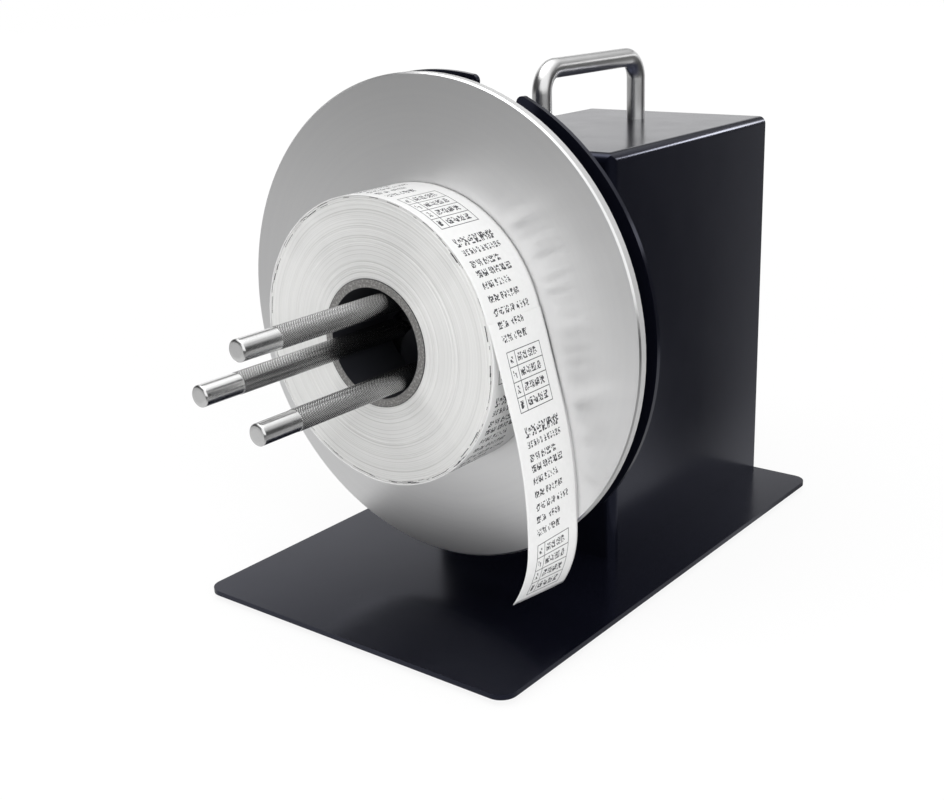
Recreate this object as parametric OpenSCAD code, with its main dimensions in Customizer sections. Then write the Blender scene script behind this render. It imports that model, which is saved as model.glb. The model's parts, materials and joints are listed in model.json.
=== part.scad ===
// Desktop label rewinder: a motor box on a base plate turns a pair of round plates,
// and three knurled rods on the plates carry the core of the roll.
// The origin is on the ground under the middle of the machine. +X is to the right,
// +Y to the back and +Z up. Inside the modules y = 0 is the front face of the front plate.

/* [Base] */
// Width of the base plate
base_w = 186; // [176:1:240]
// Thickness of the base plate
base_t = 2.5; // [2:0.1:4]
// Corner radius of the base plate
base_corner_r = 8; // [4:1:14]
// How far the base plate reaches in front of the front plate's face
base_front = 71; // [50:1:110]
// Diameter of a rubber foot
foot_d = 20; // [14:1:24]
// Height of a rubber foot
foot_h = 3; // [2:0.5:8]
// Distance from the base plate's edges to a foot's centre
foot_inset = 22; // [16:1:30]

/* [Motor box] */
// Width of the box
box_w = 117; // [108:1:150]
// Depth of the box
box_d = 157; // [150:1:200]
// Height of the box above the base plate
box_h = 206; // [170:0.1:240]
// Thickness of the box's sheet metal
wall_t = 1.5; // [1:0.1:2.5]
// Radius of the box's two front upright edges
box_corner_r = 5; // [3:0.5:8]
// Radius of the box's top edges
top_edge_r = 4; // [2:0.5:5]
// Distance from the front plate's face back to the box
box_gap = 67; // [60:1:90]
// Width of the flanges folded inwards at the bottom and at the back
fold_w = 10; // [8:1:14]

/* [Carry handle] */
// Diameter of the handle's round bar
handle_d = 10; // [6:0.5:12]
// Distance between the handle's two legs
handle_span = 90; // [70:1:110]
// Height of the bar's centre above the box
handle_rise = 33.8; // [26:0.2:45]
// Bend radius on the bar's centre line
handle_bend_r = 11.5; // [8:0.5:16]
// Distance of the handle from the box's middle, towards the machine's right
handle_x = -4; // [-20:1:20]

/* [Round plates] */
// Diameter of both round plates
plate_d = 230; // [200:1:280]
// Thickness of the front plate
front_plate_t = 5; // [4:0.5:8]
// Clear gap between the two plates
plate_gap = 8.3; // [6:0.1:12]
// Thickness of the rear plate
rear_plate_t = 2.5; // [2:0.1:4]
// Chamfer of the front plate's rim
rim_chamfer = 0.8; // [0.3:0.1:1.5]
// Width of the three notches in the rear plate's rim
notch_w = 22.5; // [14:0.5:30]
// Gap between the round plates and the base plate
plate_clearance = 17.4; // [6:0.1:40]
// Depth of the notches
notch_depth = 14; // [8:1:20]
// Corner radius of the notches
notch_corner_r = 3; // [1:0.5:5]

/* [Core rods] */
// Diameter of a rod
rod_d = 10; // [8:0.5:12]
// How far the rods stand out in front of the front plate
rod_reach = 123.6; // [90:0.1:160]
// Gap that the rods leave to the core's bore as shown
rod_core_gap = 0.5; // [0.3:0.1:3]
// Largest distance from the spindle axis that the slots leave for a rod's axis
rod_r_max = 50; // [40:1:60]
// Angle of the first rod, counted from +X towards +Z
rod_angle = 72.5; // [0:0.5:120]
// Length of the smooth end of a rod
rod_smooth_len = 21; // [10:1:40]
// How much thinner the smooth end is
rod_smooth_step = 0.4; // [0.2:0.1:1]
// Turn of the scroll slots for each millimetre of rod travel, in degrees
scroll_rate = 2.5; // [2:0.1:3]
// Width of a slider block
slider_w = 22; // [14:1:24]

/* [Roll] */
// Diameter of the label roll
roll_d = 133; // [90:1:200]
// Width of the label strip
strip_w = 37.5; // [20:0.5:110]
// Bore of the core
core_bore = 50.8; // [44:0.1:80]
// Thickness of the core's wall
core_wall = 4.1; // [2:0.1:6]
// Gap between the roll and the front plate
roll_gap = 0.5; // [0.3:0.1:3]
// Thickness of the loose strip
strip_t = 0.5; // [0.4:0.1:1]
// Angle above the horizontal at which the loose strip leaves the roll
strip_leave_angle = 15; // [5:1:40]

/* [Spindle and bearings] */
// Diameter of the spindle in its bearings
spindle_d = 12; // [11:0.1:15]
// Diameter of the spindle's thinner front end
spindle_front_d = 10; // [8:0.5:11]
// Outer diameter of a ball bearing
bearing_od = 28; // [26:1:34]
// Width of a ball bearing
bearing_w = 8; // [7:0.5:9]
// Diameter of a bearing's ball
ball_d = 4.76; // [4:0.01:5]
// Number of balls in a bearing
ball_count = 8; // [6:1:9]

/* [Drive] */
// Diameter of the gearbox
gearbox_d = 56; // [44:1:64]
// Length of the gearbox
gearbox_len = 36; // [28:1:40]
// Diameter of the motor
motor_d = 50; // [36:1:60]
// Length of the motor
motor_len = 52; // [40:1:56]
// Diameter of the gearbox shaft
gear_shaft_d = 10; // [8:1:10]
// Thickness of the motor bracket
bracket_t = 3; // [2:0.5:4]
// Width of the motor bracket
bracket_w = 80; // [76:1:90]

/* [Rear controls] */
// Diameter of the speed knob
knob_d = 22; // [18:1:28]
// Height of the speed knob
knob_h = 14; // [12:1:18]
// Height of the knob and the switch above the base plate
control_h = 78; // [70:1:100]
// Distance of the knob and the switch from the middle
control_x = 27; // [22:1:34]
// Greatest tilt of the rocker each way, in degrees
rocker_tilt = 12; // [8:1:12]
// Height of the power socket above the base plate
socket_h = 36; // [30:1:44]

/* [Hidden] */
$fn = 64;
HULL_FN = 32;
TINY = 0.01;

// Clearances
RUN = 0.05;
FIT = 0.02;
HOLE = 0.1;
TAP = 0.02;
SLOT = 0.1;
SCROLL_SLOT = 0.25;
FACE = 0.15;
SOFT = 0.4;
PANEL_FIT = 0.3;

// Levels and stations worked out from the sizes above
base_top = foot_h + base_t;
axis_h = plate_d / 2 + plate_clearance;
core_od = core_bore + 2 * core_wall;
rod_r = core_bore / 2 - rod_core_gap - rod_d / 2;
axis_z = base_top + axis_h;
box_rear = box_gap + box_d;
base_len = base_front + box_rear;
box_mid_y = box_gap + box_d / 2;
panel_y = box_rear - wall_t;
rear_plate_y = front_plate_t + plate_gap;
rear_plate_back = rear_plate_y + rear_plate_t;
knob_gap = 3;
machine_rear = box_rear + knob_gap + knob_h;
mid_y = (machine_rear - rod_reach) / 2;

// Screws
M3 = 3;
M4 = 4;
M6 = 6;
PAN_HEAD = 1.9;
PAN_HEAD_H = 0.65;
NUT_AF = 1.75;
NUT_H = 0.8;

// Hub, collar and end washer of the spindle
boss_r = spindle_front_d / 2 + 2;
hub_r = 35;
hub_t = 5;
collar_r = 15;
collar_len = 15;
hub_screw_r = 25;
hub_back = rear_plate_back + hub_t;
shoulder_y = hub_back + collar_len;
washer_r = boss_r + 1.6;
washer_t = 2;
rod_r_min = washer_r + rod_d / 2 + 0.4;

// Depth of the screws in the handle's legs
handle_screw_in = 12;

// Bearing housing
housing_wall = 6;
housing_r = bearing_od / 2 + housing_wall;
housing_flange_r = housing_r + 12;
housing_flange_t = 6;
housing_front = shoulder_y + 4.2;
lip_t = 2;
front_bearing_y = housing_front + lip_t + HOLE;
rear_bearing_y = box_gap - bearing_w;
spigot_r = bearing_od / 2 + 3;
spigot_len = 4;
housing_screw_r = housing_r + 6;
circlip_t = 1;
box_groove_y = rear_bearing_y + bearing_w + HOLE;
shaft_groove_ys = [front_bearing_y - circlip_t - 2 * RUN, rear_bearing_y + bearing_w];
ball_pitch_r = (bearing_od + spindle_d) / 4;
ring_groove = 0.68;
ring_t = (bearing_od - spindle_d) / 4 - ball_d / 2 + ring_groove;
groove_r = ball_d / 2 + FIT * 2;

// Coupling, gearbox and motor
spindle_rear = box_gap + 19;
coupling_r = 14;
coupling_y = box_gap + 7;
coupling_len = 26;
bracket_y = coupling_y + coupling_len + 3;
bracket_h = axis_h + gearbox_d / 2 + 6;
bracket_foot = 44;
gearbox_y = bracket_y + bracket_t;
gear_shaft_front = spindle_rear + 1;
gearbox_boss_r = 10;
gearbox_screw_r = gearbox_d / 2 - 6;
gearbox_screw_in = 7;
gearbox_bore_end = gearbox_y + gearbox_len - 10;
motor_y = gearbox_y + gearbox_len;
terminal_len = 7;

// Control board
board_w = 88;
board_len = 56;
board_t = 1.6;
board_y = bracket_y + bracket_t + bracket_foot + 3;
standoff_h = 10;
board_z = base_top + standoff_h;
board_hole_in = 5;

// Rear controls
pot_body_r = 8.5;
pot_body_len = 9;
pot_bush_r = 3.5;
pot_bush_len = 6;
pot_shaft_r = 3;
pot_shaft_y = panel_y - 4;
knob_recess_r = 6.5;
knob_recess = 2.2;
knob_bore = knob_h - 3;
switch_body_w = 13;
switch_body_h = 19;
switch_bezel_w = 15;
switch_bezel_h = 21;
bezel_t = 2;
rocker_r = 9.4;
rocker_w = 9;
rocker_pin_r = 1.25;
rocker_dip = 3;
switch_depth = 20;
rocker_axis_y = box_rear - 4;
socket_r = 5.5;
socket_bore_r = 3;
led_r = 2.5;
led_h = control_h + 22;
control_z = base_top + control_h;
socket_z = base_top + socket_h;
led_z = base_top + led_h;

// Placing helpers

// Moves a piece from the working frame to the machine's frame
module placed() {
    translate([0, -mid_y, 0]) children();
}

// Stands a piece drawn along +Z on the spindle axis, so that its z = 0 is at the given y
module on_axis(y) {
    translate([0, y, axis_z]) rotate([-90, 0, 0]) children();
}

// Extrudes an outline drawn in (x, z) about the spindle axis, from y backwards by t
module axis_plate(y, t) {
    translate([0, y + t, axis_z]) rotate([90, 0, 0]) linear_extrude(t) children();
}

// Turns +Z to +Y at a point, for what goes in from the front
module from_front(p) {
    translate(p) rotate([-90, 0, 0]) children();
}

// Turns +Z to -Y at a point, for what goes in from the back
module from_back(p) {
    translate(p) rotate([90, 0, 0]) children();
}

// Puts a piece at every pair of x and y
module at_xy(xs, ys, z) {
    for (x = xs) {
        for (y = ys) translate([x, y, z]) children();
    }
}

// Puts a piece at every pair of x and z, turned so that +Z goes to the back
module at_xz(xs, y, zs) {
    for (x = xs) {
        for (z = zs) from_front([x, y, z]) children();
    }
}

// Puts a piece at a radius round the spindle axis, once for each angle
module round_axis(y, r, angles) {
    on_axis(y) {
        for (a = angles) rotate(-a) translate([r, 0, 0]) children();
    }
}

// Shared shapes

// Free hole for a screw, from z = 0 through a wall
module clear_hole(d, wall) {
    translate([0, 0, -1]) cylinder(r = d / 2 + HOLE, h = wall + 2);
}

// Threaded hole for a screw, from z = 0 through a wall
module tapped_hole(d, wall) {
    translate([0, 0, -1]) cylinder(r = d / 2 + TAP, h = wall + 2);
}

// Plate with round corners, centred in x, from y = 0 backwards, standing on z = 0
module round_plate(w, len, t, r) {
    translate([-w / 2 + r, 0, 0]) cube([w - 2 * r, len, t]);
    translate([-w / 2, r, 0]) cube([w, len - 2 * r, t]);
    for (x = [-w / 2 + r, w / 2 - r]) {
        for (y = [r, len - r]) translate([x, y, 0]) cylinder(r = r, h = t);
    }
}

// Ring along +Z
module ring(r_out, r_in, h) {
    difference() {
        cylinder(r = r_out, h = h);
        translate([0, 0, -1]) cylinder(r = r_in, h = h + 2);
    }
}

// Screw whose head sits on z = 0 and whose shank goes along +Z
module pan_screw(d, len) {
    head_r = d * PAN_HEAD / 2;
    head_h = d * PAN_HEAD_H;
    difference() {
        union() {
            translate([0, 0, -head_h]) cylinder(r1 = head_r * 0.8, r2 = head_r, h = head_h / 2);
            translate([0, 0, -head_h / 2]) cylinder(r = head_r, h = head_h / 2);
            cylinder(r = d / 2, h = len);
        }
        for (turn = [0, 90]) {
            rotate(turn) translate([-head_r * 0.55, -d * 0.1, -head_h - 1])
                cube([head_r * 1.1, d * 0.2, 1 + head_h / 2]);
        }
    }
}

// Countersunk screw whose head is flush with z = 0 and whose shank goes along +Z
module flat_screw(d, len) {
    difference() {
        union() {
            cylinder(r1 = d, r2 = d / 2, h = d / 2);
            cylinder(r = d / 2, h = len);
        }
        for (turn = [0, 90]) {
            rotate(turn) translate([-d * 0.5, -d * 0.1, -1]) cube([d, d * 0.2, 1 + d * 0.3]);
        }
    }
}

// Hole for a countersunk screw
module flat_screw_hole(d, len) {
    translate([0, 0, -1]) cylinder(r = d + HOLE, h = 1);
    cylinder(r1 = d + HOLE, r2 = d / 2 + HOLE, h = d / 2);
    clear_hole(d, len);
}

// Screw with a hexagon socket, head on z = 0, shank along +Z
module socket_screw(d, len) {
    head_r = d * 0.85;
    difference() {
        union() {
            translate([0, 0, -d]) cylinder(r = head_r, h = d);
            cylinder(r = d / 2, h = len);
        }
        translate([0, 0, -d - 1]) cylinder(r = d * 0.5, h = 1 + d / 2, $fn = 6);
    }
}

// Hexagon nut standing on z = 0
module nut(d) {
    difference() {
        cylinder(r = d * NUT_AF / sqrt(3), h = d * NUT_H, $fn = 6);
        tapped_hole(d, d * NUT_H);
    }
}

// Headless screw with a hexagon socket, from z = 0 along +Z
module set_screw(d, len) {
    difference() {
        cylinder(r = d / 2, h = len);
        translate([0, 0, len - d / 2]) cylinder(r = d * 0.28, h = d, $fn = 6);
    }
}

// Places of repeated fasteners
fold_mid_x = box_w / 2 - wall_t - fold_w / 2;
fold_xs = [-fold_mid_x, fold_mid_x];
base_screw_ys = [box_gap + 18, box_mid_y, box_rear - 18];
panel_screw_zs = [base_top + 22, base_top + box_h / 2, base_top + box_h - 22];
bracket_screw_xs = [12 - bracket_w / 2, bracket_w / 2 - 12];
bracket_screw_ys = [bracket_y + 16, bracket_y + bracket_foot - 8];
board_screw_xs = [board_hole_in - board_w / 2, board_w / 2 - board_hole_in];
board_screw_ys = [board_y + board_hole_in, board_y + board_len - board_hole_in];
corner_angles = [45, 135, 225, 315];
handle_ys = [box_mid_y - handle_span / 2, box_mid_y + handle_span / 2];
hub_screw_angles = [for (k = [0:2]) rod_angle + 60 + 120 * k];
rod_angles = [for (k = [0:2]) rod_angle + 120 * k];

// Base

module base_plate() {
    color([0.07, 0.07, 0.08]) placed() difference() {
        translate([0, -base_front, foot_h]) round_plate(base_w, base_len, base_t, base_corner_r);
        at_xy(fold_xs, base_screw_ys, foot_h) flat_screw_hole(M4, base_t);
        at_xy(bracket_screw_xs, bracket_screw_ys, foot_h) flat_screw_hole(M4, base_t);
        at_xy(board_screw_xs, board_screw_ys, foot_h) clear_hole(M3, base_t);
    }
}

module rubber_feet() {
    foot_xs = [foot_inset - base_w / 2, base_w / 2 - foot_inset];
    foot_ys = [foot_inset - base_front, box_rear - foot_inset];
    color([0.05, 0.05, 0.05]) placed() at_xy(foot_xs, foot_ys, 0)
        cylinder(r1 = foot_d / 2 - 1, r2 = foot_d / 2, h = foot_h);
}

module base_screws() {
    color([0.2, 0.2, 0.22]) placed() at_xy(fold_xs, base_screw_ys, foot_h)
        flat_screw(M4, base_t + wall_t + 3);
}

// Motor box

// Box body with round front upright edges and round top edges, shrunk by an inset.
// A shrunk body starts that much below the base plate's top, so that it cuts an open bottom.
module box_body(inset, back) {
    w = box_w - 2 * inset;
    h = box_h;
    r = max(box_corner_r - inset, 0.2);
    top_r = max(top_edge_r - inset, 0.2);
    front = box_gap + inset;
    len = back - front;
    translate([0, 0, base_top - inset]) intersection() {
        union() {
            translate([-w / 2, front + r, 0]) cube([w, len - r, h]);
            translate([-w / 2 + r, front, 0]) cube([w - 2 * r, len, h]);
            at_xy([r - w / 2, w / 2 - r], [front + r], 0) cylinder(r = r, h = h);
        }
        union() {
            translate([-w / 2, front, 0]) cube([w, len, h - top_r]);
            translate([-w / 2 + top_r, front, 0]) cube([w - 2 * top_r, len, h]);
            at_xz([top_r - w / 2, w / 2 - top_r], front, [h - top_r]) cylinder(r = top_r, h = len);
        }
        union() {
            translate([-w / 2, front, 0]) cube([w, len, h - top_r]);
            translate([-w / 2, front + top_r, 0]) cube([w, len - top_r, h]);
            translate([-w / 2, front + top_r, h - top_r]) rotate([0, 90, 0]) cylinder(r = top_r, h = w);
        }
    }
}

module housing_shell() {
    inner_w = box_w - 2 * wall_t;
    fold_y = panel_y - wall_t;
    fold_front = box_gap + box_corner_r;
    color([0.07, 0.07, 0.08]) placed() difference() {
        union() {
            difference() {
                box_body(0, box_rear);
                box_body(wall_t, box_rear + 1);
            }
            // Folds along the bottom of both sides
            at_xy([-inner_w / 2, inner_w / 2 - fold_w], [fold_front], base_top)
                cube([fold_w, panel_y - fold_front, wall_t]);
            // Folds that carry the rear panel
            at_xy([-inner_w / 2, inner_w / 2 - fold_w], [fold_y], base_top)
                cube([fold_w, wall_t, box_h - top_edge_r]);
            translate([-inner_w / 2 + fold_w, fold_y, base_top + box_h - wall_t - fold_w])
                cube([inner_w - 2 * fold_w, wall_t, fold_w]);
        }
        at_xy(fold_xs, base_screw_ys, base_top) tapped_hole(M4, wall_t);
        at_xz(fold_xs, fold_y, panel_screw_zs) tapped_hole(M3, wall_t);
        at_xy([handle_x], handle_ys, base_top + box_h - wall_t) clear_hole(M4, wall_t);
        on_axis(box_gap) clear_hole(2 * spigot_r, wall_t);
        round_axis(box_gap, housing_screw_r, corner_angles) clear_hole(M4, wall_t);
    }
}

module rear_panel() {
    switch_hole_w = switch_body_w + 2 * HOLE;
    switch_hole_h = switch_body_h + 2 * HOLE;
    color([0.07, 0.07, 0.08]) placed() difference() {
        intersection() {
            box_body(wall_t + PANEL_FIT, box_rear);
            translate([-box_w / 2, panel_y, base_top]) cube([box_w, wall_t, box_h]);
        }
        at_xz(fold_xs, panel_y, panel_screw_zs) clear_hole(M3, wall_t);
        from_front([control_x, panel_y, control_z]) clear_hole(2 * pot_bush_r, wall_t);
        from_front([-control_x, panel_y, socket_z]) clear_hole(2 * socket_r, wall_t);
        from_front([0, panel_y, led_z]) clear_hole(2 * led_r, wall_t);
        translate([-control_x - switch_hole_w / 2, panel_y - 1, control_z - switch_hole_h / 2])
            cube([switch_hole_w, wall_t + 2, switch_hole_h]);
    }
}

module rear_panel_screws() {
    color([0.75, 0.75, 0.77]) placed() at_xz(fold_xs, box_rear, panel_screw_zs)
        rotate([180, 0, 0]) pan_screw(M3, 2 * wall_t + 3);
}

// Carry handle

module carry_handle() {
    leg = handle_rise - handle_bend_r;
    bar = handle_span - 2 * handle_bend_r;
    leg_ys = [-handle_span / 2, handle_span / 2];
    color([0.78, 0.79, 0.8]) placed() translate([handle_x, box_mid_y, base_top + box_h]) difference() {
        union() {
            at_xy([0], leg_ys, 0) cylinder(r = handle_d / 2, h = leg);
            translate([0, -bar / 2, handle_rise]) rotate([-90, 0, 0]) cylinder(r = handle_d / 2, h = bar);
            for (side = [-1, 1]) {
                translate([0, side * bar / 2, leg]) rotate([0, 0, 90 * side]) rotate([90, 0, 0])
                    rotate_extrude(angle = 90) translate([handle_bend_r, 0]) circle(r = handle_d / 2);
            }
        }
        at_xy([0], leg_ys, 0) tapped_hole(M4, handle_screw_in);
    }
}

module handle_screws() {
    color([0.75, 0.75, 0.77]) placed() at_xy([handle_x], handle_ys, base_top + box_h - wall_t)
        pan_screw(M4, wall_t + handle_screw_in - 2);
}

// Bearing housing and bearings

module bearing_housing() {
    color([0.1, 0.1, 0.11]) placed() difference() {
        union() {
            on_axis(housing_front) cylinder(r = housing_r, h = box_gap - housing_front);
            on_axis(box_gap - housing_flange_t) cylinder(r = housing_flange_r, h = housing_flange_t);
            on_axis(box_gap - TINY) cylinder(r = spigot_r, h = spigot_len + TINY);
        }
        on_axis(housing_front - 1) cylinder(r = bearing_od / 2 - 4.5, h = lip_t + 2);
        on_axis(housing_front + lip_t) cylinder(r = bearing_od / 2 + FIT, h = 60);
        on_axis(box_groove_y) cylinder(r = bearing_od / 2 + 0.8, h = circlip_t + 2 * RUN);
        round_axis(box_gap - housing_flange_t, housing_screw_r, corner_angles)
            clear_hole(M4, housing_flange_t);
    }
}

module bearing_housing_screws() {
    color([0.15, 0.15, 0.16]) placed()
        round_axis(box_gap - housing_flange_t, housing_screw_r, corner_angles)
            socket_screw(M4, housing_flange_t + wall_t + 5);
}

module bearing_housing_nuts() {
    color([0.7, 0.7, 0.72]) placed() round_axis(box_gap + wall_t, housing_screw_r, corner_angles) nut(M4);
}

bearing_ys = [front_bearing_y, rear_bearing_y];
ball_angles = [for (k = [0:ball_count - 1]) 360 * k / ball_count];

// Ring of a bearing with the balls' groove
module grooved_ring(y, r_out, r_in) {
    on_axis(y) difference() {
        ring(r_out, r_in, bearing_w);
        translate([0, 0, bearing_w / 2]) rotate_extrude() translate([ball_pitch_r, 0]) circle(r = groove_r);
    }
}

module bearing_outer_rings() {
    color([0.72, 0.73, 0.75]) placed() {
        for (y = bearing_ys) grooved_ring(y, bearing_od / 2, bearing_od / 2 - ring_t);
    }
}

module bearing_inner_rings() {
    bore_r = spindle_d / 2 + FIT;
    color([0.72, 0.73, 0.75]) placed() {
        for (y = bearing_ys) grooved_ring(y, bore_r + ring_t, bore_r);
    }
}

// Puts a piece at every ball of the bearing that starts at y
module at_balls(y) {
    round_axis(y + bearing_w / 2, ball_pitch_r, ball_angles) children();
}

module bearing_balls() {
    color([0.8, 0.8, 0.82]) placed() {
        for (y = bearing_ys) at_balls(y) sphere(r = ball_d / 2);
    }
}

module bearing_cages() {
    cage_w = bearing_w - 2 * 1.2;
    cage_t = 1.6;
    color([0.7, 0.6, 0.35]) placed() {
        for (y = bearing_ys) difference() {
            on_axis(y + (bearing_w - cage_w) / 2)
                ring(ball_pitch_r + cage_t / 2, ball_pitch_r - cage_t / 2, cage_w);
            at_balls(y) translate([-cage_t, 0, 0]) rotate([0, 90, 0])
                cylinder(r = ball_d / 2 + RUN, h = 2 * cage_t);
        }
    }
}

module bearing_spacer() {
    start = front_bearing_y + bearing_w;
    color([0.6, 0.6, 0.62]) placed() on_axis(start)
        ring(bearing_od / 2 - RUN, bearing_od / 2 - 2, rear_bearing_y - start);
}

module bearing_circlip() {
    color([0.25, 0.25, 0.26]) placed() on_axis(box_groove_y + RUN)
        ring(bearing_od / 2 + 0.7, bearing_od / 2 - 2, circlip_t);
}

// Motor bracket, gearbox and motor

module motor_bracket() {
    gusset = [[-TINY, -TINY], [bracket_foot - bracket_t, -TINY], [-TINY, bracket_foot]];
    gusset_xs = [-bracket_w / 2, bracket_w / 2 - bracket_t];
    color([0.55, 0.56, 0.58]) placed() difference() {
        union() {
            translate([-bracket_w / 2, bracket_y, base_top]) cube([bracket_w, bracket_t, bracket_h]);
            translate([-bracket_w / 2, bracket_y, base_top]) cube([bracket_w, bracket_foot, bracket_t]);
            at_xy(gusset_xs, [gearbox_y], base_top + bracket_t)
                rotate([90, 0, 90]) linear_extrude(bracket_t) polygon(gusset);
        }
        on_axis(bracket_y) clear_hole(2 * gearbox_boss_r, bracket_t);
        round_axis(bracket_y, gearbox_screw_r, corner_angles) clear_hole(M4, bracket_t);
        at_xy(bracket_screw_xs, bracket_screw_ys, base_top) tapped_hole(M4, bracket_t);
    }
}

module bracket_screws() {
    color([0.2, 0.2, 0.22]) placed() at_xy(bracket_screw_xs, bracket_screw_ys, foot_h)
        flat_screw(M4, base_t + bracket_t + 2);
}

module gearbox() {
    color([0.6, 0.61, 0.63]) placed() difference() {
        union() {
            on_axis(gearbox_y) cylinder(r = gearbox_d / 2, h = gearbox_len);
            on_axis(bracket_y - 2) cylinder(r = gearbox_boss_r, h = bracket_t + 2 + TINY);
        }
        on_axis(bracket_y - 3) cylinder(r = gear_shaft_d / 2 + RUN, h = gearbox_bore_end - bracket_y + 3);
        round_axis(gearbox_y, gearbox_screw_r, corner_angles) tapped_hole(M4, gearbox_screw_in);
        // Split lines between the gear cases
        for (y = [gearbox_len / 3, gearbox_len * 2 / 3]) {
            on_axis(gearbox_y + y) ring(gearbox_d / 2 + 1, gearbox_d / 2 - 0.6, 0.8);
        }
    }
}

module gearbox_screws() {
    color([0.75, 0.75, 0.77]) placed() round_axis(bracket_y, gearbox_screw_r, corner_angles)
        pan_screw(M4, bracket_t + gearbox_screw_in - 1);
}

module drive_motor() {
    color([0.5, 0.51, 0.53]) placed() difference() {
        union() {
            on_axis(motor_y) cylinder(r = motor_d / 2, h = motor_len - 4);
            on_axis(motor_y + motor_len - 4 - TINY) cylinder(r = motor_d / 2 - 1.5, h = 4 + TINY);
            on_axis(motor_y + motor_len - TINY) cylinder(r = 8, h = 2 + TINY);
            at_xy([-17.5, 12.5], [motor_y + motor_len - TINY], axis_z - 0.4) cube([5, terminal_len, 0.8]);
        }
        round_axis(motor_y + motor_len - 1, 0.36 * motor_d, [30:60:330]) cylinder(r = 2.2, h = 3);
    }
}

// Control board

module control_board() {
    color([0.06, 0.3, 0.14]) placed() difference() {
        translate([-board_w / 2, board_y, board_z]) cube([board_w, board_len, board_t]);
        at_xy(board_screw_xs, board_screw_ys, board_z) clear_hole(M3, board_t);
    }
}

module board_standoffs() {
    color([0.8, 0.66, 0.3]) placed() at_xy(board_screw_xs, board_screw_ys, base_top) difference() {
        cylinder(r = 3.2, h = standoff_h, $fn = 6);
        tapped_hole(M3, standoff_h);
    }
}

module board_screws() {
    grip = standoff_h / 2 - 1;
    color([0.75, 0.75, 0.77]) placed() {
        at_xy(board_screw_xs, board_screw_ys, foot_h) low_screw(M3, base_t + grip);
        at_xy(board_screw_xs, board_screw_ys, board_z + board_t)
            mirror([0, 0, 1]) pan_screw(M3, board_t + grip);
    }
}

// Screw with a thin head that stays above the ground
module low_screw(d, len) {
    translate([0, 0, -1.5]) cylinder(r1 = d * 0.8, r2 = d * 0.95, h = 1.5);
    cylinder(r = d / 2, h = len);
}

module terminal_blocks() {
    top = board_z + board_t;
    color([0.1, 0.45, 0.3]) placed() {
        for (x = [-24, 24]) {
            translate([x, board_y + board_len - 11, top]) difference() {
                translate([-10, -5, 0]) cube([20, 10, 11]);
                for (k = [-1.5:1:1.5]) {
                    translate([k * 4.6, 0, 8]) cylinder(r = 1.6, h = 4);
                    translate([k * 4.6 - 1.5, 2, 1.5]) cube([3, 4, 4]);
                }
            }
        }
    }
}

module smoothing_capacitor() {
    color([0.12, 0.14, 0.35]) placed() translate([-22, board_y + 20, board_z + board_t]) {
        cylinder(r = 8, h = 1.5);
        translate([0, 0, 1.5 - TINY]) cylinder(r = 7.4, h = 1);
        translate([0, 0, 2.5 - 2 * TINY]) cylinder(r = 8, h = 22);
    }
}

module power_transistor() {
    color([0.1, 0.1, 0.1]) placed() translate([20, board_y + 18, board_z + board_t]) {
        translate([-5, -4.6, 8]) cube([10, 4.6, 10]);
        translate([-5, -1.4, 18 - TINY]) cube([10, 1.4, 6]);
        for (k = [-1, 0, 1]) translate([k * 2.54 - 0.45, -2.8, 0]) cube([0.9, 0.6, 8 + TINY]);
    }
}

module heat_sink() {
    fin_count = 7;
    fin_pitch = 5;
    color([0.2, 0.2, 0.21]) placed() translate([20, board_y + 18, board_z + board_t]) {
        translate([-17.5, 0, 0]) cube([35, 3, 30]);
        for (k = [0:fin_count - 1]) {
            translate([(k - (fin_count - 1) / 2) * fin_pitch - 0.75, 3 - TINY, 0]) cube([1.5, 10, 30]);
        }
    }
}

// Rear controls

module speed_potentiometer() {
    color([0.5, 0.51, 0.53]) placed() difference() {
        union() {
            from_back([control_x, panel_y, control_z]) cylinder(r = pot_body_r, h = pot_body_len);
            from_front([control_x, panel_y - TINY, control_z]) cylinder(r = pot_bush_r, h = pot_bush_len);
            at_xy([control_x - 5, control_x, control_x + 5], [panel_y - 6.5], control_z - pot_body_r - 7)
                translate([-0.75, 0, 0]) cube([1.5, 0.8, 9]);
        }
        from_front([control_x, pot_shaft_y - 1, control_z])
            cylinder(r = pot_shaft_r + RUN, h = pot_bush_len + 8);
    }
}

module potentiometer_nut() {
    color([0.75, 0.75, 0.77]) placed() from_front([control_x, box_rear, control_z]) difference() {
        cylinder(r = 5.5, h = 2, $fn = 6);
        tapped_hole(2 * pot_bush_r, 2);
    }
}

module potentiometer_shaft() {
    color([0.72, 0.73, 0.75]) placed() from_front([control_x, pot_shaft_y, control_z])
        cylinder(r = pot_shaft_r, h = box_rear + knob_gap + knob_bore - pot_shaft_y);
}

module speed_knob() {
    color([0.09, 0.09, 0.1]) placed() from_front([control_x, box_rear + knob_gap, control_z]) difference() {
        union() {
            cylinder(r = knob_d / 2, h = 3);
            cylinder(r1 = knob_d / 2 - 1.2, r2 = knob_d / 2 - 2.5, h = knob_h);
        }
        translate([0, 0, -1]) cylinder(r = pot_shaft_r + FIT, h = 1 + knob_bore + HOLE);
        translate([0, 0, -1]) cylinder(r = knob_recess_r, h = 1 + knob_recess);
        // Pointer groove
        translate([-0.6, 2, knob_h - 0.8]) cube([1.2, knob_d / 2, 2]);
        for (k = [0:11]) {
            rotate(15 + 30 * k) translate([knob_d / 2 - 0.6, 0, 4]) cylinder(r = 1.3, h = knob_h);
        }
    }
}

// Cylinder about the rocker's pivot
module rocker_cylinder(r, w) {
    translate([-w / 2, rocker_axis_y, 0]) rotate([0, 90, 0]) cylinder(r = r, h = w);
}

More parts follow.
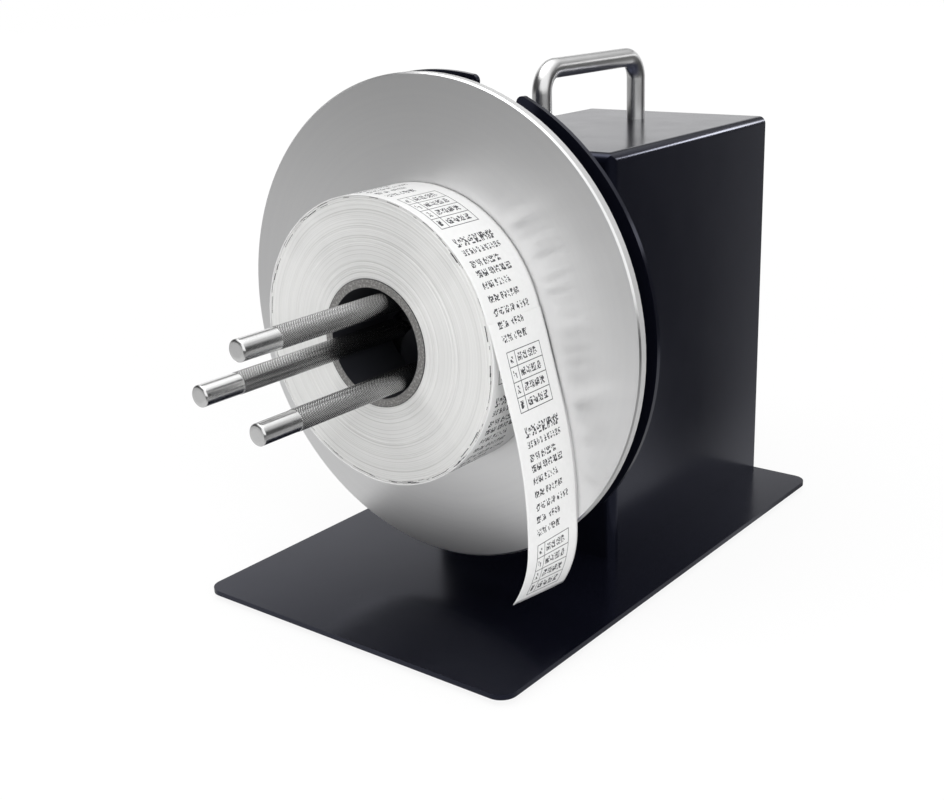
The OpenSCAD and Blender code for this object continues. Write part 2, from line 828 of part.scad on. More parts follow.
module switch_body() {
    color([0.08, 0.08, 0.09]) placed() translate([-control_x, 0, control_z]) difference() {
        union() {
            translate([-switch_bezel_w / 2, box_rear, -switch_bezel_h / 2])
                cube([switch_bezel_w, bezel_t, switch_bezel_h]);
            translate([-switch_body_w / 2, box_rear - switch_depth, -switch_body_h / 2])
                cube([switch_body_w, switch_depth + TINY, switch_body_h]);
            for (z = [-5, 0, 5]) {
                translate([-2.4, box_rear - switch_depth - 7, z - 0.4]) cube([4.8, 7 + TINY, 0.8]);
            }
        }
        rocker_cylinder(rocker_r + 0.35, rocker_w + 0.5);
        rocker_cylinder(rocker_pin_r + RUN, rocker_w + 2.6);
    }
}

module rocker() {
    face_y = rocker_axis_y + rocker_r;
    cap_t = 9;
    color([0.1, 0.1, 0.11]) placed() translate([-control_x, 0, control_z]) {
        difference() {
            rocker_cylinder(rocker_r, rocker_w);
            // Hollow below the cap
            translate([-rocker_w, face_y - cap_t - 20, -rocker_r - 1])
                cube([2 * rocker_w, 20, 2 * rocker_r + 2]);
            // Two flats that meet in a shallow valley
            for (side = [0, 1]) mirror([0, 0, side]) translate([-rocker_w, face_y - rocker_dip, -TINY])
                rotate([-rocker_tilt, 0, 0]) cube([2 * rocker_w, 20, 20]);
        }
        rocker_cylinder(rocker_pin_r, rocker_w + 2);
    }
}

module dc_socket() {
    color([0.1, 0.1, 0.1]) placed() difference() {
        union() {
            from_front([-control_x, box_rear, socket_z]) cylinder(r = socket_r + 1.5, h = 1.5);
            from_back([-control_x, box_rear, socket_z]) cylinder(r = socket_r, h = 14);
            for (z = [-2.3, 1.7]) {
                translate([-control_x - 1.5, box_rear - 20, socket_z + z]) cube([3, 6 + TINY, 0.6]);
            }
        }
        from_back([-control_x, box_rear + 2, socket_z]) ring(socket_bore_r, 1.05, 12);
        from_back([-control_x, box_rear + 2, socket_z]) cylinder(r = 2, h = 2);
    }
}

module dc_socket_nut() {
    color([0.75, 0.75, 0.77]) placed() from_back([-control_x, panel_y, socket_z]) difference() {
        cylinder(r = 8, h = 2.5, $fn = 6);
        tapped_hole(2 * socket_r, 2.5);
    }
}

module power_led() {
    color([0.1, 0.6, 0.15]) placed() translate([0, 0, led_z]) {
        from_back([0, box_rear + 1.2, 0]) cylinder(r = led_r, h = 8);
        translate([0, box_rear + 1.2, 0]) intersection() {
            sphere(r = led_r);
            translate([-5, -TINY, -5]) cube([10, 5, 10]);
        }
        from_back([0, panel_y, 0]) cylinder(r = led_r + 0.9, h = 1.2);
    }
}

// Spindle

module spindle_shaft() {
    color([0.7, 0.71, 0.73]) placed() difference() {
        union() {
            on_axis(HOLE) cylinder(r = spindle_front_d / 2, h = shoulder_y - HOLE + TINY);
            on_axis(shoulder_y) cylinder(r = spindle_d / 2, h = spindle_rear - shoulder_y);
        }
        on_axis(-1) cylinder(r = M6 / 2 + HOLE, h = 18);
        for (y = shaft_groove_ys) on_axis(y) ring(spindle_d / 2 + 1, spindle_d / 2 - 0.5, circlip_t + 2 * RUN);
    }
}

module shaft_circlips() {
    color([0.25, 0.25, 0.26]) placed() {
        for (y = shaft_groove_ys) on_axis(y + RUN) ring(spindle_d / 2 + 2, spindle_d / 2 - 0.4, circlip_t);
    }
}

module drive_hub() {
    color([0.6, 0.61, 0.63]) placed() difference() {
        union() {
            on_axis(-HOLE) cylinder(r = boss_r, h = rear_plate_back + HOLE + TINY);
            on_axis(rear_plate_back) cylinder(r = hub_r, h = hub_t);
            on_axis(hub_back - TINY) cylinder(r = collar_r, h = collar_len + TINY);
        }
        on_axis(-1) cylinder(r = spindle_front_d / 2 + FIT, h = shoulder_y + 2);
        round_axis(rear_plate_back, hub_screw_r, hub_screw_angles) tapped_hole(M4, hub_t);
        at_set_screws() tapped_hole(M4, collar_r);
    }
}

// Puts a piece at the collar's two set screws, with its +Z pointing out
module at_set_screws() {
    for (a = [0, 90]) axis_turn(a) translate([0, hub_back + collar_len / 2, 0]) rotate([0, 90, 0]) children();
}

// Turns a piece about the spindle axis so that its +X lies at an angle counted from +X towards +Z
module axis_turn(angle) {
    translate([0, 0, axis_z]) rotate([0, -angle, 0]) children();
}

module hub_screws() {
    color([0.2, 0.2, 0.22]) placed() round_axis(rear_plate_y, hub_screw_r, hub_screw_angles)
        pan_screw(M4, rear_plate_t + hub_t);
}

module hub_set_screws() {
    color([0.2, 0.2, 0.22]) placed() at_set_screws()
        translate([0, 0, spindle_front_d / 2 + FIT]) set_screw(M4, 8);
}

// Takes away one corner where a notch meets the rim, so that a round of radius r is left
module rim_corner(r) {
    rim_r = plate_d / 2;
    side_x = notch_w / 2 - TINY;
    centre = [notch_w / 2 + r, sqrt(pow(rim_r - r, 2) - pow(notch_w / 2 + r, 2))];
    difference() {
        polygon([[side_x, centre[1]], centre, centre * (rim_r + 1) / (rim_r - r), [side_x, rim_r + 2]]);
        translate(centre) circle(r = r);
    }
}

// One notch in the rim, pointing along +Y of the outline
module rim_notch() {
    floor_y = plate_d / 2 - notch_depth;
    r = notch_corner_r;
    translate([-notch_w / 2, floor_y + r]) square([notch_w, notch_depth]);
    translate([-notch_w / 2 + r, floor_y]) square([notch_w - 2 * r, notch_depth]);
    for (x = [-notch_w / 2 + r, notch_w / 2 - r]) translate([x, floor_y + r]) circle(r = r);
    rim_corner(r);
    mirror([1, 0]) rim_corner(r);
}

module rear_plate() {
    slot_r = rod_d / 2 + SLOT;
    color([0.05, 0.05, 0.06]) placed() axis_plate(rear_plate_y, rear_plate_t) difference() {
        circle(r = plate_d / 2);
        circle(r = boss_r + RUN);
        for (a = rod_angles) {
            rotate(a) {
                translate([rod_r_min, -slot_r]) square([rod_r_max - rod_r_min, 2 * slot_r]);
                translate([rod_r_min, 0]) circle(r = slot_r);
                translate([rod_r_max, 0]) circle(r = slot_r);
            }
            rotate(a - 90) rim_notch();
        }
        for (a = hub_screw_angles) rotate(a) translate([hub_screw_r, 0]) circle(r = M4 / 2 + HOLE);
    }
}

module end_washer() {
    color([0.15, 0.15, 0.16]) placed() on_axis(-HOLE - washer_t) ring(washer_r, M6 / 2 + HOLE, washer_t);
}

module clamp_screw() {
    color([0.15, 0.15, 0.16]) placed() on_axis(-HOLE - washer_t) difference() {
        union() {
            translate([0, 0, -3.3]) cylinder(r1 = 4, r2 = 5.2, h = 3.3);
            cylinder(r = M6 / 2, h = washer_t + 14);
        }
        translate([0, 0, -5]) cylinder(r = 2.3, h = 4, $fn = 6);
    }
}

module shaft_coupling() {
    half = coupling_len / 2;
    color([0.65, 0.66, 0.68]) placed() difference() {
        on_axis(coupling_y) cylinder(r = coupling_r, h = coupling_len);
        on_axis(coupling_y - 1) cylinder(r = spindle_d / 2 + FIT, h = half + 1);
        on_axis(coupling_y + half - TINY) cylinder(r = gear_shaft_d / 2 + FIT, h = half + 1);
        for (y = [half / 2, half * 3 / 2]) {
            translate([0, coupling_y + y, axis_z]) tapped_hole(M4, coupling_r);
        }
    }
}

module coupling_set_screws() {
    starts = [spindle_d / 2 + FIT, gear_shaft_d / 2 + FIT];
    ys = [coupling_y + coupling_len / 4, coupling_y + coupling_len * 3 / 4];
    color([0.2, 0.2, 0.22]) placed() {
        for (k = [0, 1]) translate([0, ys[k], axis_z + starts[k]]) set_screw(M4, 6);
    }
}

module gearbox_shaft() {
    color([0.7, 0.71, 0.73]) placed() on_axis(gear_shaft_front)
        cylinder(r = gear_shaft_d / 2, h = gearbox_bore_end - HOLE - gear_shaft_front);
}

// Front plate with its scroll slots

function slot_angle(r) = rod_angle + (r - rod_r) * scroll_rate;
function slot_point(r) = r * [cos(slot_angle(r)), sin(slot_angle(r))];
function slot_heading(r) = slot_angle(r) + atan(r * scroll_rate * PI / 180);

// Point on the slot's edge at radius r, seen from its middle line at an angle to the left of the heading
function slot_edge(r, angle) =
    let(turn = slot_heading(r) + angle)
    slot_point(r) + (rod_d / 2 + SCROLL_SLOT) * [cos(turn), sin(turn)];

module scroll_slot() {
    steps = 20;
    rs = [for (i = [0:steps]) rod_r_min + (rod_r_max - rod_r_min) * i / steps];
    left_side = [for (i = [steps:-1:0]) slot_edge(rs[i], 90)];
    right_side = [for (r = rs) slot_edge(r, -90)];
    outer_end = [for (angle = [-60:30:60]) slot_edge(rod_r_max, angle)];
    inner_end = [for (angle = [120:30:240]) slot_edge(rod_r_min, angle)];
    polygon(concat(right_side, outer_end, left_side, inner_end));
}

module front_plate() {
    r = plate_d / 2;
    color([0.7, 0.71, 0.72]) placed() difference() {
        on_axis(0) union() {
            cylinder(r1 = r - rim_chamfer, r2 = r, h = rim_chamfer);
            translate([0, 0, rim_chamfer]) cylinder(r = r, h = front_plate_t - 2 * rim_chamfer);
            translate([0, 0, front_plate_t - rim_chamfer])
                cylinder(r1 = r, r2 = r - rim_chamfer, h = rim_chamfer);
        }
        on_axis(-1) cylinder(r = boss_r + RUN, h = front_plate_t + 2);
        axis_plate(-1, front_plate_t + 2) for (k = [0:2]) rotate(120 * k) scroll_slot();
    }
}

// Core rods and their sliders

// Puts a piece on a rod's axis with its z = 0 at the given y and its +X pointing out
module on_rod(k, y) {
    axis_turn(rod_angles[k]) translate([rod_r, y, 0]) rotate([-90, 0, 0]) children();
}

module core_rod(k) {
    tail_end = rear_plate_back - 2 * HOLE;
    chamfer = 0.7;
    thin_r = (rod_d - rod_smooth_step) / 2;
    color([0.62, 0.63, 0.65]) placed() {
        on_rod(k, -rod_reach) cylinder(r1 = thin_r - chamfer, r2 = thin_r, h = chamfer);
        on_rod(k, chamfer - rod_reach) cylinder(r = thin_r, h = rod_smooth_len - chamfer);
        on_rod(k, rod_smooth_len - rod_reach - TINY)
            cylinder(r = rod_d / 2, h = rod_reach + tail_end - rod_smooth_len + TINY);
    }
}

module slider_block(k) {
    inner = rod_r_min - washer_r + 0.2;
    outer = rod_d / 2 + 6;
    t = plate_gap - 2 * FACE;
    color([0.08, 0.08, 0.09]) placed() on_rod(k, front_plate_t + FACE) difference() {
        translate([-inner, -slider_w / 2, 0]) cube([inner + outer, slider_w, t]);
        translate([0, 0, -1]) cylinder(r = rod_d / 2 + FIT, h = t + 2);
    }
}

module rod_1() { core_rod(0); }
module rod_2() { core_rod(1); }
module rod_3() { core_rod(2); }
module slider_1() { slider_block(0); }
module slider_2() { slider_block(1); }
module slider_3() { slider_block(2); }

// Roll of labels

module roll_core() {
    color([0.5, 0.46, 0.42]) placed() on_axis(-roll_gap - strip_w)
        ring(core_od / 2, core_od / 2 - core_wall, strip_w);
}

module label_roll() {
    color([0.9, 0.9, 0.89]) placed() on_axis(-roll_gap - strip_w) ring(roll_d / 2, core_od / 2, strip_w);
}

// Runs of the loose strip, each with its length and how far it turns towards the machine's middle
strip_runs = [[42, 0], [48, -14], [12, 0], [28, -30]];
strip_steps = 8;

// Walks along the runs. A point holds x, z and the heading, counted outwards from straight down.
function strip_walk(p, steps, i = 0) =
    i == len(steps) ? [p] :
    let(
        heading = p[2] + steps[i][1] / 2,
        next = [p[0] + steps[i][0] * sin(heading), p[1] - steps[i][0] * cos(heading), p[2] + steps[i][1]]
    )
    concat([p], strip_walk(next, steps, i + 1));

// Point beside the walk, at a distance outwards from it
function beside(p, d) = [p[0] + d * cos(p[2]), p[1] + d * sin(p[2])];

module label_tail() {
    start_r = roll_d / 2 + SOFT + strip_t / 2;
    start = [start_r * cos(strip_leave_angle), start_r * sin(strip_leave_angle), strip_leave_angle];
    steps = [for (run = strip_runs) for (k = [1:strip_steps]) run / strip_steps];
    path = strip_walk(start, steps);
    outside = [for (p = path) beside(p, strip_t / 2)];
    inside = [for (i = [len(path) - 1:-1:0]) beside(path[i], -strip_t / 2)];
    color([0.93, 0.93, 0.93]) placed() axis_plate(-roll_gap - strip_w, strip_w)
        polygon(concat(outside, inside));
}

base_plate();
rubber_feet();
base_screws();
housing_shell();
rear_panel();
rear_panel_screws();
carry_handle();
handle_screws();
bearing_housing();
bearing_housing_screws();
bearing_housing_nuts();
bearing_outer_rings();
bearing_spacer();
bearing_circlip();
motor_bracket();
bracket_screws();
gearbox();
gearbox_screws();
drive_motor();
control_board();
board_standoffs();
board_screws();
terminal_blocks();
smoothing_capacitor();
power_transistor();
heat_sink();
speed_potentiometer();
potentiometer_nut();
switch_body();
dc_socket();
dc_socket_nut();
power_led();
spindle_shaft();
shaft_circlips();
bearing_inner_rings();
bearing_balls();
bearing_cages();
drive_hub();
hub_screws();
hub_set_screws();
rear_plate();
end_washer();
clamp_screw();
shaft_coupling();
coupling_set_screws();
gearbox_shaft();
front_plate();
rod_1();
rod_2();
rod_3();
slider_1();
slider_2();
slider_3();
roll_core();
label_roll();
label_tail();
speed_knob();
potentiometer_shaft();
rocker();
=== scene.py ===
"""Looks of a desktop label rewinder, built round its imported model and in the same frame.

Lengths are in metres, and on the strip in millimetres. X is the machine's right, Y runs along the
spindle from the roll to the back of the motor box, and Z is up. Angles round the spindle are in
degrees, from +X towards +Z.
"""

import json
import math
import random

import bpy
from mathutils import Euler, Matrix, Vector, noise


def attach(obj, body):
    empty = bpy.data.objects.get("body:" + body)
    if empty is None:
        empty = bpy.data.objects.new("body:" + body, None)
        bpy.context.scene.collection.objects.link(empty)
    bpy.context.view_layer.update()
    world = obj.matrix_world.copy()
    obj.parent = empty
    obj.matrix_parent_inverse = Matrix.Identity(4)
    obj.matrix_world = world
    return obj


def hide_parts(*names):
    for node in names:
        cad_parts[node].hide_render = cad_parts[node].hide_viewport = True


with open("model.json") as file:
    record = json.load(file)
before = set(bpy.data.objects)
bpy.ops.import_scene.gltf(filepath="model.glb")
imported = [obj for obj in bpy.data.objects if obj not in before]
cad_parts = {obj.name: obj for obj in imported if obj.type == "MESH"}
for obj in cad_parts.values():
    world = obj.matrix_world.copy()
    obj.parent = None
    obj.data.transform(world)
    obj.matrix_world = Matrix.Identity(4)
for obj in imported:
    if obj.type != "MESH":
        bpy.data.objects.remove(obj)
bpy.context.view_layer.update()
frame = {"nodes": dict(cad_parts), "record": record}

MM = 0.001

AXIS_Z = 0.1379  # height of the spindle's axis, which lies at X = 0
PLATE_R = 0.1150  # silver plate
BORE_SHADE_R = 0.0267  # its black middle: painted shade, for the dark seen down the core's bore
ROLL_FRONT = -0.0967  # Y of the roll's two faces
ROLL_BACK = -0.0592
ROLL_R = 0.0665
CORE_R = 0.0295
CORE_BORE_R = 0.0254
LEAVE_ANGLE = 15.0  # where the loose end leaves the roll

ROD_ANGLES = (72.5, 192.5, 312.5)
ROD_CIRCLE_R = 0.0199  # from the spindle's axis to a rod's
ROD_TIP = -0.1823  # Y of a rod's two ends
ROD_END = -0.0431
ROD_R = 0.0050  # over the crests of the knurl
ROD_THIN_R = 0.0048  # in front of the knurl
KNURL_START = -0.1613  # Y of the knurl's two ends
KNURL_STOP = -0.0593
KNURL_AROUND = 64  # crests and grooves on one turn
KNURL_STEP = 0.50 * MM  # from one ring of them to the next
KNURL_DEPTH = 0.10 * MM


# Node trees


def put(tree, kind, sockets=None, **settings):
    """A new shader node. A socket takes a value, or the socket of another node."""
    node = tree.nodes.new("ShaderNode" + kind)
    for key, value in settings.items():
        setattr(node, key, value)
    for key, value in (sockets or {}).items():
        if isinstance(value, bpy.types.NodeSocket):
            tree.links.new(value, node.inputs[key])
        else:
            node.inputs[key].default_value = value
    return node


def rgb(r, g, b):
    return (r, g, b, 1.0)


def grey(value):
    return rgb(value, value, value)


def mix(tree, factor, a, b):
    """Colour a where factor is 0 and b where it is 1."""
    return put(tree, "Mix", {0: factor, 6: a, 7: b}, data_type="RGBA").outputs[2]


def mix_numbers(tree, factor, a, b):
    """Number a where factor is 0 and b where it is 1."""
    return put(tree, "Mix", {0: factor, 2: a, 3: b}, data_type="FLOAT").outputs[0]


def ranged(tree, value, low, high, from_low=0.0, from_high=1.0):
    """Runs from low to high while value runs from from_low to from_high, and no further."""
    node = put(tree, "MapRange", {"Value": value, "From Min": from_low, "From Max": from_high,
                                  "To Min": low, "To Max": high})
    return node.outputs[0]


def calc(tree, operation, a, b):
    return put(tree, "Math", {0: a, 1: b}, operation=operation).outputs[0]


def own_place(tree):
    """The point in the piece's own frame, which is the machine's."""
    return put(tree, "TexCoord").outputs["Object"]


def own_xyz(tree):
    return put(tree, "SeparateXYZ", {0: own_place(tree)}).outputs


def flat_length(tree, a, b):
    """Length of the vector with these two parts."""
    flat = put(tree, "CombineXYZ", {0: a, 1: b, 2: 0.0}).outputs[0]
    return put(tree, "VectorMath", {0: flat}, operation="LENGTH").outputs["Value"]


def grain(tree, scale, detail):
    """Even noise, with about scale grains to the metre."""
    node = put(tree, "TexNoise", {"Vector": own_place(tree), "Scale": scale, "Detail": detail})
    return node.outputs[0]


def spindle_radius(tree):
    """Distance from the spindle's axis."""
    x, _, z = own_xyz(tree)
    return flat_length(tree, x, calc(tree, "SUBTRACT", z, AXIS_Z))


def rings(tree, per_metre, detail, wobble=0.0):
    """Noise in rings round the spindle's axis. wobble is how far a ring strays from its radius."""
    radius = spindle_radius(tree)
    if wobble:
        radius = calc(tree, "ADD", radius, ranged(tree, grain(tree, 22.0, 1.0), -wobble, wobble))
    node = put(tree, "TexNoise", {"W": radius, "Scale": per_metre, "Detail": detail},
               noise_dimensions="1D")
    return node.outputs[0]


def bump(tree, height, strength, distance):
    node = put(tree, "Bump", {"Height": height, "Strength": strength, "Distance": distance})
    return node.outputs[0]


def surface(name, colour, roughness, metallic=0.0, normal=None, others=None):
    """A material on one Principled shader. A socket takes a value or a function of the tree."""
    made = bpy.data.materials.new(name)
    made.use_nodes = True
    tree = made.node_tree
    shader = tree.nodes["Principled BSDF"]
    wanted = {"Base Color": colour, "Roughness": roughness, "Metallic": metallic}
    if normal:
        wanted["Normal"] = normal
    wanted.update(others or {})
    for key, value in wanted.items():
        if callable(value):
            tree.links.new(value(tree), shader.inputs[key])
        else:
            shader.inputs[key].default_value = value
    return made


# Materials, one for each finish


def powder_coat():
    return surface(
        "black_powder_coat",
        lambda t: mix(t, grain(t, 700.0, 2.0),
                      rgb(0.0019, 0.0021, 0.0048), rgb(0.0040, 0.0043, 0.0078)),
        lambda t: ranged(t, grain(t, 60.0, 4.0), 0.17, 0.24),
        normal=lambda t: bump(t, grain(t, 1100.0, 2.0), 0.10, 0.00010),
        others={"Specular Tint": rgb(0.62, 0.67, 1.0)},
    )


def turned_aluminium():
    """Face-turned plate with a matt rim, and a black middle that the roll's core hides: painted
    shade, for the dark seen down the core's bore.
    """
    def rim(tree):
        return ranged(tree, spindle_radius(tree), 0.0, 1.0,
                      PLATE_R - 0.15 * MM, PLATE_R - 0.05 * MM)

    # 1 in the black middle, which is painted shade standing for the dark down the core's bore
    def painted(tree):
        return ranged(tree, spindle_radius(tree), 1.0, 0.0,
                      BORE_SHADE_R - 0.10 * MM, BORE_SHADE_R + 0.10 * MM)

    def colour(tree):
        turned = mix(tree, rings(tree, 400.0, 2.0), rgb(0.86, 0.86, 0.865), rgb(0.89, 0.89, 0.89))
        clouds = ranged(tree, grain(tree, 14.0, 3.0), 0.0, 0.12)
        turned = mix(tree, clouds, turned, rgb(0.72, 0.72, 0.73))
        turned = mix(tree, rim(tree), turned, grey(0.55))
        return mix(tree, painted(tree), turned, rgb(0.012, 0.013, 0.018))

    def roughness(tree):
        turned = ranged(tree, rings(tree, 300.0, 2.0), 0.29, 0.32)
        turned = calc(tree, "ADD", turned, calc(tree, "MULTIPLY", rim(tree), 0.10))
        return calc(tree, "ADD", turned, calc(tree, "MULTIPLY", painted(tree), 0.15))

    def metallic(tree):
        return calc(tree, "SUBTRACT", ranged(tree, rim(tree), 1.0, 0.3), painted(tree))

    def turning(tree):
        """Direction of the tool's marks."""
        return put(tree, "Tangent", direction_type="RADIAL", axis="Y").outputs[0]

    return surface(
        "bright_aluminium", colour, roughness, metallic,
        normal=lambda t: bump(t, grain(t, 1500.0, 2.0), 0.02, 0.00003),
        others={"Anisotropic": 0.7, "Anisotropic Rotation": 0.25, "Tangent": turning},
    )


def metal(name, tone, low, high, fine=900.0, strength=0.06, tint=(1, 1, 1)):
    """Plain metal. tone is its brightness, low and high bound its roughness, and fine and strength
    are its bump's grain and depth."""
    dark = rgb(*(0.86 * tone * c for c in tint))
    light = rgb(*(tone * c for c in tint))
    return surface(
        name,
        lambda t: mix(t, grain(t, 90.0, 4.0), dark, light),
        lambda t: ranged(t, grain(t, 240.0, 3.0), low, high),
        metallic=1.0,
        normal=lambda t: bump(t, grain(t, fine, 2.0), strength, 0.00008),
    )


def plastic(name, colour, low=0.35, high=0.5, fine=1500.0):
    """Moulded plastic. low and high bound its roughness, and fine is its bump's grain."""
    light = rgb(*(min(1.0, 1.25 * c + 0.004) for c in colour))
    return surface(
        name,
        lambda t: mix(t, grain(t, 300.0, 3.0), rgb(*colour), light),
        lambda t: ranged(t, grain(t, 80.0, 3.0), low, high),
        normal=lambda t: bump(t, grain(t, fine, 1.0), 0.12, 0.00008),
    )


def wound_card():
    """Grey card wound in thin layers, with painted shade: black inside the bore, and dark where it
    meets the roll.
    """
    def layers(tree):
        return rings(tree, 2600.0, 3.0, 0.0004)

    def colour(tree):
        wound = mix(tree, layers(tree), rgb(0.10, 0.098, 0.094), rgb(0.26, 0.255, 0.25))
        fibres = ranged(tree, grain(tree, 900.0, 4.0), 0.0, 1.0, 0.50, 0.62)
        wound = mix(tree, fibres, wound, rgb(0.30, 0.295, 0.285))
        radius = spindle_radius(tree)
        # painted shade: black down the bore, and a dark line in the crease where the card meets the
        # roll
        bore = ranged(tree, radius, 1.0, 0.0, CORE_BORE_R + 0.05 * MM, CORE_BORE_R + 0.30 * MM)
        seam = ranged(tree, radius, 0.0, 0.85, CORE_R - 0.35 * MM, CORE_R - 0.10 * MM)
        return mix(tree, calc(tree, "MAXIMUM", bore, seam), wound, rgb(0.014, 0.015, 0.020))

    return surface("card", colour, 0.85, normal=lambda t: bump(t, layers(t), 0.4, 0.0002))


def roll_face():
    """Edges of the strip's many layers, with painted shade and sheen that vary round the face."""
    def layers(tree):
        return rings(tree, 1500.0, 3.0, 0.0007)

    def sheen_shade(tree):
        """1 towards the top and the bottom, where the face is painted darker and its layer lines
        stronger: painted shade, with the lighter sides a painted sheen.
        """
        up = calc(tree, "SUBTRACT", own_xyz(tree)[2], AXIS_Z)
        radius = spindle_radius(tree)
        share = calc(tree, "DIVIDE", calc(tree, "MULTIPLY", up, up),
                     calc(tree, "MULTIPLY", radius, radius))
        share = calc(tree, "ADD", share, ranged(tree, grain(tree, 40.0, 2.0), -0.5, 0.5))
        return ranged(tree, share, 0.0, 1.0, 0.35, 0.95)

    def colour(tree):
        broad = mix(tree, rings(tree, 210.0, 2.0, 0.0009), rgb(0.68, 0.68, 0.67),
                    rgb(0.81, 0.81, 0.80))
        # painted shade towards the top and the bottom, standing for the sheen of the layers' edges
        shaded = mix(tree, calc(tree, "MULTIPLY", sheen_shade(tree), 0.42), broad, rgb(0.50, 0.50, 0.495))
        lines = ranged(tree, layers(tree), 1.0, 0.0, 0.30, 0.50)
        lines = calc(tree, "MULTIPLY", lines, ranged(tree, sheen_shade(tree), 0.18, 0.62))
        return mix(tree, lines, shaded, rgb(0.40, 0.395, 0.385))

    return surface("roll_face", colour, 0.72, normal=lambda t: bump(t, layers(t), 0.25, 0.0002))


def label_paper():
    return surface(
        "label_stock",
        lambda t: mix(t, grain(t, 500.0, 4.0), rgb(0.80, 0.80, 0.795), rgb(0.87, 0.87, 0.87)),
        lambda t: ranged(t, grain(t, 120.0, 3.0), 0.40, 0.52),
        normal=lambda t: bump(t, grain(t, 1800.0, 2.0), 0.08, 0.00005),
    )


def print_ink():
    return surface(
        "print_ink",
        lambda t: mix(t, grain(t, 2500.0, 2.0), rgb(0.022, 0.022, 0.026), rgb(0.085, 0.085, 0.092)),
        0.55,
    )


def rod_centre(angle):
    """X and Z of the axis of the rod at an angle."""
    a = math.radians(angle)
    return ROD_CIRCLE_R * math.cos(a), AXIS_Z + ROD_CIRCLE_R * math.sin(a)


def knurled_steel():
    """Ground steel, with painted shade in the grooves of the knurl."""
    def groove_shade(tree):
        """1 in the grooves and 0 on the crests, by the distance from the nearest rod's axis."""
        x, y, z = own_xyz(tree)
        nearest = None
        for angle in ROD_ANGLES:
            rod_x, rod_z = rod_centre(angle)
            away = flat_length(tree, calc(tree, "SUBTRACT", x, rod_x),
                               calc(tree, "SUBTRACT", z, rod_z))
            nearest = away if nearest is None else calc(tree, "MINIMUM", nearest, away)
        low = ranged(tree, nearest, 1.0, 0.0, ROD_R - 0.9 * KNURL_DEPTH, ROD_R - 0.3 * KNURL_DEPTH)
        knurled = ranged(tree, y, 0.0, 1.0, KNURL_START - 0.02 * MM, KNURL_START)
        return calc(tree, "MULTIPLY", low, knurled)

    def colour(tree):
        steel = mix(tree, grain(tree, 90.0, 4.0), grey(0.76), grey(0.86))
        # painted shade: the knurl's grooves darkened
        return mix(tree, groove_shade(tree), steel, grey(0.10))

    return surface(
        "knurled_steel", colour,
        lambda t: ranged(t, grain(t, 240.0, 3.0), 0.20, 0.26),
        metallic=1.0,
        normal=lambda t: bump(t, grain(t, 2600.0, 1.0), 0.03, 0.00003),
    )


def circuit_laminate():
    """Green solder mask over thin tracks."""
    def tracks(tree):
        stretched = put(tree, "Mapping", {"Vector": own_place(tree), "Scale": (1, 0.35, 1)})
        cells = put(tree, "TexVoronoi", {"Vector": stretched.outputs[0], "Scale": 330.0},
                    feature="DISTANCE_TO_EDGE")
        return ranged(tree, cells.outputs[0], 1.0, 0.0, 0.04, 0.07)

    return surface(
        "green_laminate",
        lambda t: mix(t, tracks(t), rgb(0.018, 0.13, 0.055), rgb(0.03, 0.20, 0.085)),
        lambda t: ranged(t, grain(t, 200.0, 2.0), 0.22, 0.34),
        normal=lambda t: bump(t, tracks(t), 0.25, 0.0001),
    )


# The finish of each of the record's material slots
FINISHES = {
    "black_powder_coat": powder_coat(),
    "bright_aluminium": turned_aluminium(),
    "hub_aluminium": metal("hub_aluminium", 0.66, 0.30, 0.42),
    "polished_steel": metal("polished_steel", 0.82, 0.26, 0.32, 1500.0, 0.04),
    "ground_steel": metal("ground_steel", 0.74, 0.24, 0.32, 1800.0),
    "plated_steel": metal("plated_steel", 0.68, 0.24, 0.36, tint=(0.97, 0.99, 1.0)),
    "black_steel": metal("black_steel", 0.045, 0.34, 0.46),
    "bearing_steel": metal("bearing_steel", 0.72, 0.08, 0.16),
    "brass": metal("brass", 0.78, 0.22, 0.34, tint=(1.0, 0.80, 0.42)),
    "rubber": plastic("rubber", (0.012, 0.012, 0.012), 0.75, 0.9, 900.0),
    "black_plastic": plastic("black_plastic", (0.012, 0.012, 0.014)),
    "green_laminate": circuit_laminate(),
    "green_plastic": plastic("green_plastic", (0.02, 0.22, 0.12)),
    "blue_sleeve": plastic("blue_sleeve", (0.012, 0.018, 0.10), 0.25, 0.35),
    "green_lens": plastic("green_lens", (0.02, 0.30, 0.04), 0.10, 0.16),
    "card": wound_card(),
    "label_stock": label_paper(),
}
INK = print_ink()
FACE_OF_ROLL = roll_face()
KNURLED = knurled_steel()

# Nodes whose edges are softened, and by how many mm
SOFT_EDGES = {"base_plate": 0.6, "rear_plate": 0.9, "rear_panel": 0.4, "end_washer": 0.3,
              "drive_hub": 0.4, "speed_knob": 0.4, "heat_sink": 0.2}


def finish_cad_nodes():
    """Gives every CAD node its slot's finish, and some their softened edges."""
    for part in frame["record"]["subparts"]:
        node = frame["nodes"][part["node"]]
        node.data.materials.clear()
        node.data.materials.append(FINISHES[part["material_slot"]])
    for name, width in SOFT_EDGES.items():
        edge = frame["nodes"][name].modifiers.new("soft_edge", "BEVEL")
        edge.width = width * MM
        edge.segments = 3
        edge.limit_method = "ANGLE"
        edge.angle_limit = math.radians(50)
        edge.harden_normals = True


# Meshes


def piece(name, points, faces, materials, body, stands_for, tones=None, smooth=True):
    """A new mesh piece on a CAD body. tones gives each face's place in materials."""
    mesh = bpy.data.meshes.new(name)
    mesh.from_pydata(points, [], faces)
    for material in materials:
        mesh.materials.append(material)
    if tones:
        mesh.polygons.foreach_set("material_index", tones)
    mesh.polygons.foreach_set("use_smooth", [smooth] * len(mesh.polygons))
    mesh.validate()
    mesh.update()
    made = bpy.data.objects.new(name, mesh)
    bpy.context.scene.collection.objects.link(made)
    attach(made, body)
    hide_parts(stands_for)
    return made


